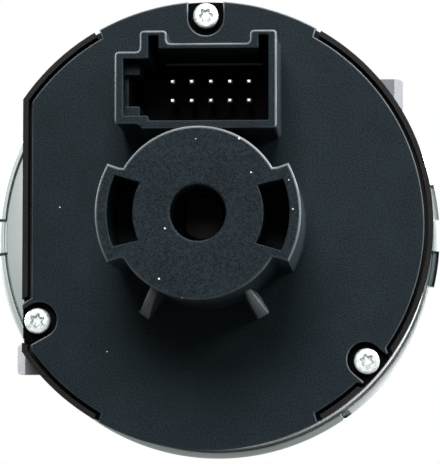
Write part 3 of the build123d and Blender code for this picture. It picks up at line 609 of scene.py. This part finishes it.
pin_shell = Shell()
for column in (-2, -1, 0, 1, 2):
    for row in (-0.5, 0.5):
        pin_place = (PIN_MIDDLE[0] + column * PIN_PITCH, PIN_MIDDLE[1] + row * PIN_PITCH)
        shaft = oblong(pin_place, PIN_SIDE, PIN_SIDE, 0.0, 0.05, steps=1)
        point = oblong(pin_place, POINT_SIDE, POINT_SIDE, 0.0, 0.08, steps=1)
        end = oblong(pin_place, END_SIDE, END_SIDE, 0.0, 0.05, steps=1)
        pin_shell.skin([raised(shaft, PIN_ROOT), raised(shaft, PIN_SHOULDER),
                        raised(point, PIN_TIP - 0.10), raised(end, PIN_TIP)])
        pin_shell.cap([shaft], PIN_ROOT, facing=-1)
        pin_shell.cap([end], PIN_TIP)
pins = pin_shell.build("connector_pin_set", tin, smooth=60.0)
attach(pins, "switch_body")
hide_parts("connector_pins")

# Rear cover: one black moulding of glass-filled plastic. The disc closes the barrel, three screws
# hold it in open notches, and the connector shroud, the hub and two gussets stand on it.
DUST = ((-0.23, 9.43, 45.7, 0.04), (5.3, 9.43, 45.7, 0.08), (6.8, 5.1, 45.7, 0.06),
        (-4.16, -2.0, 45.7, 0.07), (-4.9, -8.4, 45.7, 0.08), (12.1, 0.4, 45.7, 0.06),
        (11.6, 4.1, 45.7, 0.05), (-2.0, -10.9, 45.6, 0.06), (8.6, -13.6, 29.0, 0.07),
        (-20.1, 2.4, 25.0, 0.05), (-13.6, -17.2, 25.0, 0.05), (11.5, 17.6, 37.0, 0.06))
cover_plastic = moulded_black("cover_plastic", (0.0078, 0.0124, 0.0154), 0.60, specks=DUST)

COVER_RADIUS = 29.3
COVER_FLAT = 23.95
COVER_BACK = 22.8
NOTCH_FLOOR = 23.8
UPPER_BASE = 23.78
COVER_FACE = 25.0
FLUSH_MIDDLES = (90.0, 270.0)
FLUSH_HALF = 29.5
SCREW_SEATS = ((28.5, 90.5), (26.55, 209.4), (28.35, 319.2))
NOTCH_RADIUS = 2.4
NOTCH_SHIFT = 0.3
NOTCH_CLEAR = 0.15
PAD_RADIUS = 3.1
SHANK_HOLE = 1.35
HUB_RADIUS = 11.12
LOBE_RADIUS = 13.15
LOBE_HALF = 29.7
LOBE_SLOPE = 1.25
HUB_FACE = 45.7
CAVITY_RADIUS = 7.6
CAVITY_END = 40.0
HUB_HOLE = 3.57
SLOT_INNER = 8.35
SLOT_OUTER = 11.65
SLOT_INNER_HALF = 26.3
SLOT_OUTER_HALF = 23.0
SLOT_MIDDLES = (-1.7, 178.5)
SLOT_FLOOR = 31.7
SHROUD_RIM = 37.0
SHROUD_WALL = 1.1
SHROUD_CORNER = 0.55
SOCKET_CORNER = 0.2
EDGE = 0.16
RIM_EDGE = 0.22
HUB_EDGE = 0.36
HOLE_EDGE = 0.30
SHROUD_EDGE = 0.32
FOOT = 0.25
RIBS = ((-58.6, 14.4), (-124.9, 14.9))
RIB_START = 9.45
RIB_HEIGHT = 10.5
RIB_FOOT_WIDTH = 1.5
RIB_TOP_WIDTH = 1.0
RIB_TOP_LENGTH = 1.7
RIB_CORNER = 0.12
RIB_BASE_CORNER = 0.3
RIB_SINK = 0.2
RIB_SHEEN = (0.0, 0.0, 1.8, 2.2)
BAY_LIPS = (((-9.45, 14.2), 2.1, 1.5, 34.6), ((-9.45, 19.85), 2.1, 1.5, 34.6),
            ((-10.2, 17.0), 0.5, 4.3, 33.6))
LIP_CORNER = 0.17


def foot(radius, level, steps=3):
    """Steps of a hollow quarter round from a flat face up into a wall."""
    turns = np.linspace(0.0, math.pi / 2, steps + 1)
    return [(radius * (1 - math.sin(turn)), level + radius * (1 - math.cos(turn)))
            for turn in turns]


def sector(inner, outer, middle, inner_half, outer_half):
    """Closed outline between two radii, each with its half angle to both sides of a direction."""
    return np.concatenate([arc(outer, middle - outer_half, middle + outer_half),
                           arc(inner, middle + inner_half, middle - inner_half)])


def cover_edge():
    """Outline of the cover: a disc with one flat, two flush sectors and a pad for each screw.
    Its reach over the angle is the largest of disc, sector and pad, no further than the barrel.
    A pad reaches d cos(a) + sqrt(r^2 - (d sin(a))^2), at an angle a from its screw."""
    barrel = flatted(BARREL_RADIUS, BARREL_FLAT)
    reach = flatted(COVER_RADIUS, COVER_FLAT)
    for flush in FLUSH_MIDDLES:
        reach = np.where(np.abs(turn_about - flush) < FLUSH_HALF, barrel, reach)
    for distance, seat in SCREW_SEATS:
        off = np.radians(turn_about - seat)
        across = PAD_RADIUS ** 2 - (distance * np.sin(off)) ** 2
        pad = distance * np.cos(off) + np.sqrt(np.maximum(across, 0.0))
        reach = np.where((across > 0) & (np.cos(off) > 0), np.clip(pad, reach, barrel), reach)
    return polar(reach, turn_about)


def notched(loop):
    """The cover's outline with an open notch for each screw: the points beside the screw go, and
    a half circle with two straight sides out to the rim takes their place."""
    for distance, seat in SCREW_SEATS:
        axis = polar(1.0, seat)
        side = np.array([-axis[1], axis[0]])
        along, beside = loop @ axis, loop @ side
        gone = (np.abs(beside) < NOTCH_RADIUS + NOTCH_CLEAR) & (along > distance - NOTCH_RADIUS)
        loop = np.roll(loop, -int(np.argmax(gone & ~np.roll(gone, 1))), axis=0)
        kept = loop[int(np.sum(gone)):]
        turn = np.radians(np.linspace(270.0, 90.0, 25))[:, None]
        bowl = ((distance - NOTCH_SHIFT) * axis
                + NOTCH_RADIUS * (np.cos(turn) * axis + np.sin(turn) * side))
        first = math.sqrt(kept[-1] @ kept[-1] - NOTCH_RADIUS ** 2) * axis - NOTCH_RADIUS * side
        last = math.sqrt(kept[0] @ kept[0] - NOTCH_RADIUS ** 2) * axis + NOTCH_RADIUS * side
        loop = np.concatenate([kept, [first], bowl, [last]])
    return loop


def shroud_edge(inset):
    """Keyed outline of the connector shroud, moved inwards by an inset, less at the thin top."""
    left, right = -11.5 + inset, 9.8 - inset
    bottom, top, tab = 11.7 + inset, 23.0 - 0.68 * inset, 24.7 - 0.6 * inset
    bay_low, bay_high, bay = 12.35 + inset, 21.95 - 0.9 * inset, -8.2 + inset
    key_left, key_right = -4.65 - inset, 6.3 + inset
    return np.array([
        (left, bay_low), (bay, bay_low), (bay, bottom), (right, bottom), (right, tab),
        (key_right, tab), (key_right, top), (key_left, top), (key_left, tab),
        (bay, tab), (bay, bay_high), (left, bay_high)])


def softened(loop, radius, steps=4):
    """A loop with its corners rounded: each corner P becomes the curve
    (1-t)^2 A + 2t(1-t) P + t^2 B, with A and B on its two sides at the radius from it."""
    t = np.linspace(0.0, 1.0, steps)[None, :, None]
    behind = np.roll(loop, 1, axis=0) - loop
    ahead = np.roll(loop, -1, axis=0) - loop
    start = loop + radius * behind / np.linalg.norm(behind, axis=1, keepdims=True)
    end = loop + radius * ahead / np.linalg.norm(ahead, axis=1, keepdims=True)
    curve = (1 - t) ** 2 * start[:, None] + 2 * t * (1 - t) * loop[:, None] + t ** 2 * end[:, None]
    return curve.reshape(-1, 2)


hub_turn = np.linspace(0.0, 360.0, 288, endpoint=False)
lobe_off = np.abs((hub_turn + 90.0) % 180.0 - 90.0)
lobe_share = np.clip((LOBE_HALF - lobe_off) / LOBE_SLOPE + 0.5, 0.0, 1.0)
hub_loop = polar(HUB_RADIUS + (LOBE_RADIUS - HUB_RADIUS) * lobe_share, hub_turn)
shroud_loop = softened(shroud_edge(0.0), SHROUD_CORNER)
socket_loop = softened(shroud_edge(SHROUD_WALL), SOCKET_CORNER)
cavity_loop = circle(CAVITY_RADIUS)[::-1]
hole_loop = circle(HUB_HOLE, count=72)[::-1]
slot_loops = [sector(SLOT_INNER, SLOT_OUTER, middle, SLOT_INNER_HALF, SLOT_OUTER_HALF)[::-1]
              for middle in SLOT_MIDDLES]
shank_loops = [circle(SHANK_HOLE, polar(*seat), 32)[::-1] for seat in SCREW_SEATS]
rim_loop = cover_edge()
top_loop = notched(rim_loop)

cover = Shell()
lower_holes = [socket_loop[::-1], cavity_loop] + shank_loops
# The notch floors under the screw heads, and the walls just below them, get painted shade, near
# black.
for lower_loop in [rim_loop] + lower_holes:
    cover.wall(lower_loop, [(0.0, COVER_BACK), (0.0, NOTCH_FLOOR, -1.0)])
cover.cap([rim_loop] + lower_holes, COVER_BACK, facing=-1)
cover.cap([rim_loop] + lower_holes, NOTCH_FLOOR, wear=-1.0)
cover.cap([top_loop, socket_loop[::-1], cavity_loop], UPPER_BASE, facing=-1)
# The rounded edges get painted highlight: most on the rim, the hub and the shroud, little on the
# hole, the slots and the socket, some on the bay lips.
cover.wall(top_loop, [(0.0, UPPER_BASE)] + rounded(RIM_EDGE, COVER_FACE))
cover.cap([grown(top_loop, -RIM_EDGE), grown(hub_loop, FOOT)[::-1],
           grown(shroud_loop, FOOT)[::-1]], COVER_FACE)
cover.wall(hub_loop, foot(FOOT, COVER_FACE) + rounded(HUB_EDGE, HUB_FACE, wear=1.2))
cover.wall(cavity_loop, [(0.0, UPPER_BASE), (0.0, CAVITY_END)])
cover.cap([cavity_loop[::-1], hole_loop], CAVITY_END, facing=-1)
cover.wall(hole_loop, [(0.0, CAVITY_END)] + rounded(HOLE_EDGE, HUB_FACE, wear=0.05))
for slot_loop in slot_loops:
    cover.cap([slot_loop[::-1]], SLOT_FLOOR)
    cover.wall(slot_loop, [(0.0, SLOT_FLOOR)] + rounded(EDGE, HUB_FACE, wear=0.1))
cover.cap([grown(hub_loop, -HUB_EDGE), grown(hole_loop, -HOLE_EDGE)]
          + [grown(slot_loop, -EDGE) for slot_loop in slot_loops], HUB_FACE)
cover.wall(shroud_loop, foot(FOOT, COVER_FACE) + rounded(SHROUD_EDGE, SHROUD_RIM, wear=1.3))
cover.wall(socket_loop[::-1], [(0.0, UPPER_BASE)] + rounded(EDGE, SHROUD_RIM, wear=0.1))
cover.cap([grown(shroud_loop, -SHROUD_EDGE), grown(socket_loop[::-1], -EDGE)], SHROUD_RIM)
# Each rib's outer end gets painted highlight, stronger towards its top.
for rib_angle, rib_reach in RIBS:
    rib_middle = polar((RIB_START + rib_reach) / 2, rib_angle)
    rib_length = rib_reach - RIB_START
    rib_foot = oblong(rib_middle, rib_length, RIB_FOOT_WIDTH, rib_angle, RIB_CORNER)
    rib_base = oblong(rib_middle, rib_length + 2 * FOOT, RIB_FOOT_WIDTH + 2 * FOOT, rib_angle,
                      RIB_BASE_CORNER)
    rib_top = oblong(polar(RIB_START + RIB_TOP_LENGTH / 2, rib_angle), RIB_TOP_LENGTH,
                     RIB_TOP_WIDTH, rib_angle, RIB_CORNER)
    rib_end = np.clip(outward(rib_foot) @ polar(1.0, rib_angle), 0.0, 1.0)
    cover.skin([raised(rib_base, COVER_FACE - RIB_SINK), raised(rib_base, COVER_FACE),
                raised(rib_foot, COVER_FACE + FOOT), raised(rib_top, COVER_FACE + RIB_HEIGHT)],
               np.outer(RIB_SHEEN, rib_end))
    cover.cap([rib_base], COVER_FACE - RIB_SINK, facing=-1)
    cover.cap([rib_top], COVER_FACE + RIB_HEIGHT)
for lip_middle, lip_length, lip_width, lip_top in BAY_LIPS:
    bay_lip = oblong(lip_middle, lip_length, lip_width, 0.0, LIP_CORNER)
    cover.wall(bay_lip, [(0.0, COVER_BACK)] + rounded(EDGE, lip_top, wear=0.3))
    cover.cap([bay_lip], COVER_BACK, facing=-1)
    cover.cap([grown(bay_lip, -EDGE)], lip_top)
rear_cover = cover.build("rear_cover_moulding", cover_plastic)
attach(rear_cover, "switch_body")
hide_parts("rear_cover")

# Cover screws: zinc-plated steel, thread-forming, with a pan head and a six-lobed recess. Each
# head is pressed down on the floor of its notch, and its shank bites into a boss of the housing.
zinc = Finish("screw_zinc", (0.62, 0.65, 0.645), 0.40, metallic=0.5)
scuffs = zinc.noise(0.0005)
zinc.set(Base_Color=zinc.blend((scuffs * 2.4 - 0.9).clamped(), (0.59, 0.625, 0.62),
                               (0.22, 0.245, 0.25)),
         Normal=zinc.bump(scuffs, 0.00003))

HEAD_RADIUS = 1.74
HEAD_HEIGHT = 1.35
HEAD_ROUND = 0.42
SHANK_RADIUS = 1.1
SHANK_LENGTH = 8.5
SHANK_TIP = 0.33
SHANK_TAPER = 0.9
RECESS_RADIUS = 0.86
RECESS_LOBE = 0.17
RECESS_DEPTH = 0.55
SCREW_TURNS = (4.0, 22.0, 47.0)
head_angle = np.arange(96) * 360.0 / 96


def screw_path(turn):
    """Radius and height above the seat, from the tip of a screw's shank up over its head and down
    into its recess. The recess's radius waves with six lobes, r(a) = R + L cos(6 (a - turn)), and
    its wall falls inwards to a small flat floor."""
    lobes = RECESS_RADIUS + RECESS_LOBE * np.cos(6.0 * np.radians(head_angle - turn))
    head = [(HEAD_RADIUS - HEAD_ROUND * (1 - math.cos(side)),
             HEAD_HEIGHT - HEAD_ROUND * (1 - math.sin(side)))
            for side in np.radians(np.linspace(0.0, 78.0, 7))]
    return [(SHANK_TIP, -SHANK_LENGTH), (SHANK_RADIUS, SHANK_TAPER - SHANK_LENGTH),
            (SHANK_RADIUS, 0.0), (HEAD_RADIUS, 0.0), *head,
            (lobes + 0.05, HEAD_HEIGHT), (lobes, HEAD_HEIGHT - 0.05),
            (lobes * 0.90, HEAD_HEIGHT - 0.30), (lobes * 0.45 + 0.12, HEAD_HEIGHT - RECESS_DEPTH)]


screw_shell = Shell()
for screw_seat, screw_turn in zip(SCREW_SEATS, SCREW_TURNS):
    screw_rings = [(polar(radius, head_angle) + polar(*screw_seat), NOTCH_FLOOR + height)
                   for radius, height in screw_path(screw_turn)]
    screw_shell.skin([raised(ring, level) for ring, level in screw_rings])
    screw_shell.cap([screw_rings[0][0]], screw_rings[0][1], facing=-1)
    screw_shell.cap([screw_rings[-1][0]], screw_rings[-1][1])
screws = screw_shell.build("cover_screw_set", zinc)
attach(screws, "switch_body")
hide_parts("cover_screws")

# Studio: a pale floor in a white room, with a broad soft lamp above and behind the camera and a
# smaller one to each side. Shiny and clear surfaces see the same white as the camera does.
SKY_GLOW = 0.02
LAMP_SPREAD = 60.0
FLOOR_LEVEL = -0.140
FLOOR_HALF = 1.0


def sees_white(maker):
    """1 for a ray from the camera, off a shiny surface or through a clear one, else 0."""
    kinds = [maker.node("ShaderNodeLightPath", {}, {}, output="Is " + kind + " Ray")
             for kind in ("Camera", "Glossy", "Transmission")]
    return (kinds[0] + kinds[1] + kinds[2]).clamped()


def lamp(name, place, aim, size, watts):
    """Soft square lamp at a place, turned to face a point."""
    data = bpy.data.lights.new(name, "AREA")
    data.size = size
    data.energy = watts
    data.spread = math.radians(LAMP_SPREAD)
    made = bpy.data.objects.new(name, data)
    made.location = place
    made.rotation_euler = (Vector(aim) - Vector(place)).to_track_quat("-Z", "Y").to_euler()
    bpy.context.scene.collection.objects.link(made)


world = bpy.data.worlds.new("studio")
bpy.context.scene.world = world
world.use_nodes = True
sky = NodeMaker(world.node_tree)
background = world.node_tree.nodes["Background"]
sky.feed(background.inputs["Color"], (1.0, 1.0, 1.0, 1.0))
sky.feed(background.inputs["Strength"], sees_white(sky) * (1.0 - SKY_GLOW) + SKY_GLOW)

lamp("top_lamp", (0.02, 0.485, 0.30), (0, 0.02, 0), 0.24, 0.75)
lamp("left_lamp", (0.36, -0.06, 0.12), (0, 0.03, 0), 0.14, 0.66)
lamp("right_lamp", (-0.33, 0.036, 0.20), (0, 0.01, 0), 0.14, 0.85)

floor_mesh = bpy.data.meshes.new("floor")
floor_mesh.from_pydata(
    [(-FLOOR_HALF, -FLOOR_HALF, FLOOR_LEVEL), (FLOOR_HALF, -FLOOR_HALF, FLOOR_LEVEL),
     (FLOOR_HALF, FLOOR_HALF, FLOOR_LEVEL), (-FLOOR_HALF, FLOOR_HALF, FLOOR_LEVEL)],
    [], [(0, 1, 2, 3)])
floor = bpy.data.objects.new("floor", floor_mesh)
bpy.context.scene.collection.objects.link(floor)
floor_white = Finish("floor_white", (0.22, 0.22, 0.22), 0.8)
lit_floor = Value(floor_white, floor_white.surface.outputs["BSDF"])
white_floor = floor_white.node("ShaderNodeEmission", {}, {})
mixed_floor = floor_white.node("ShaderNodeMixShader", {},
                               {"Fac": sees_white(floor_white), 1: lit_floor, 2: white_floor})
floor_white.feed(floor_white.tree.nodes["Material Output"].inputs["Surface"], mixed_floor)
floor_mesh.materials.append(floor_white.material)

bpy.context.scene.view_settings.view_transform = "Standard"
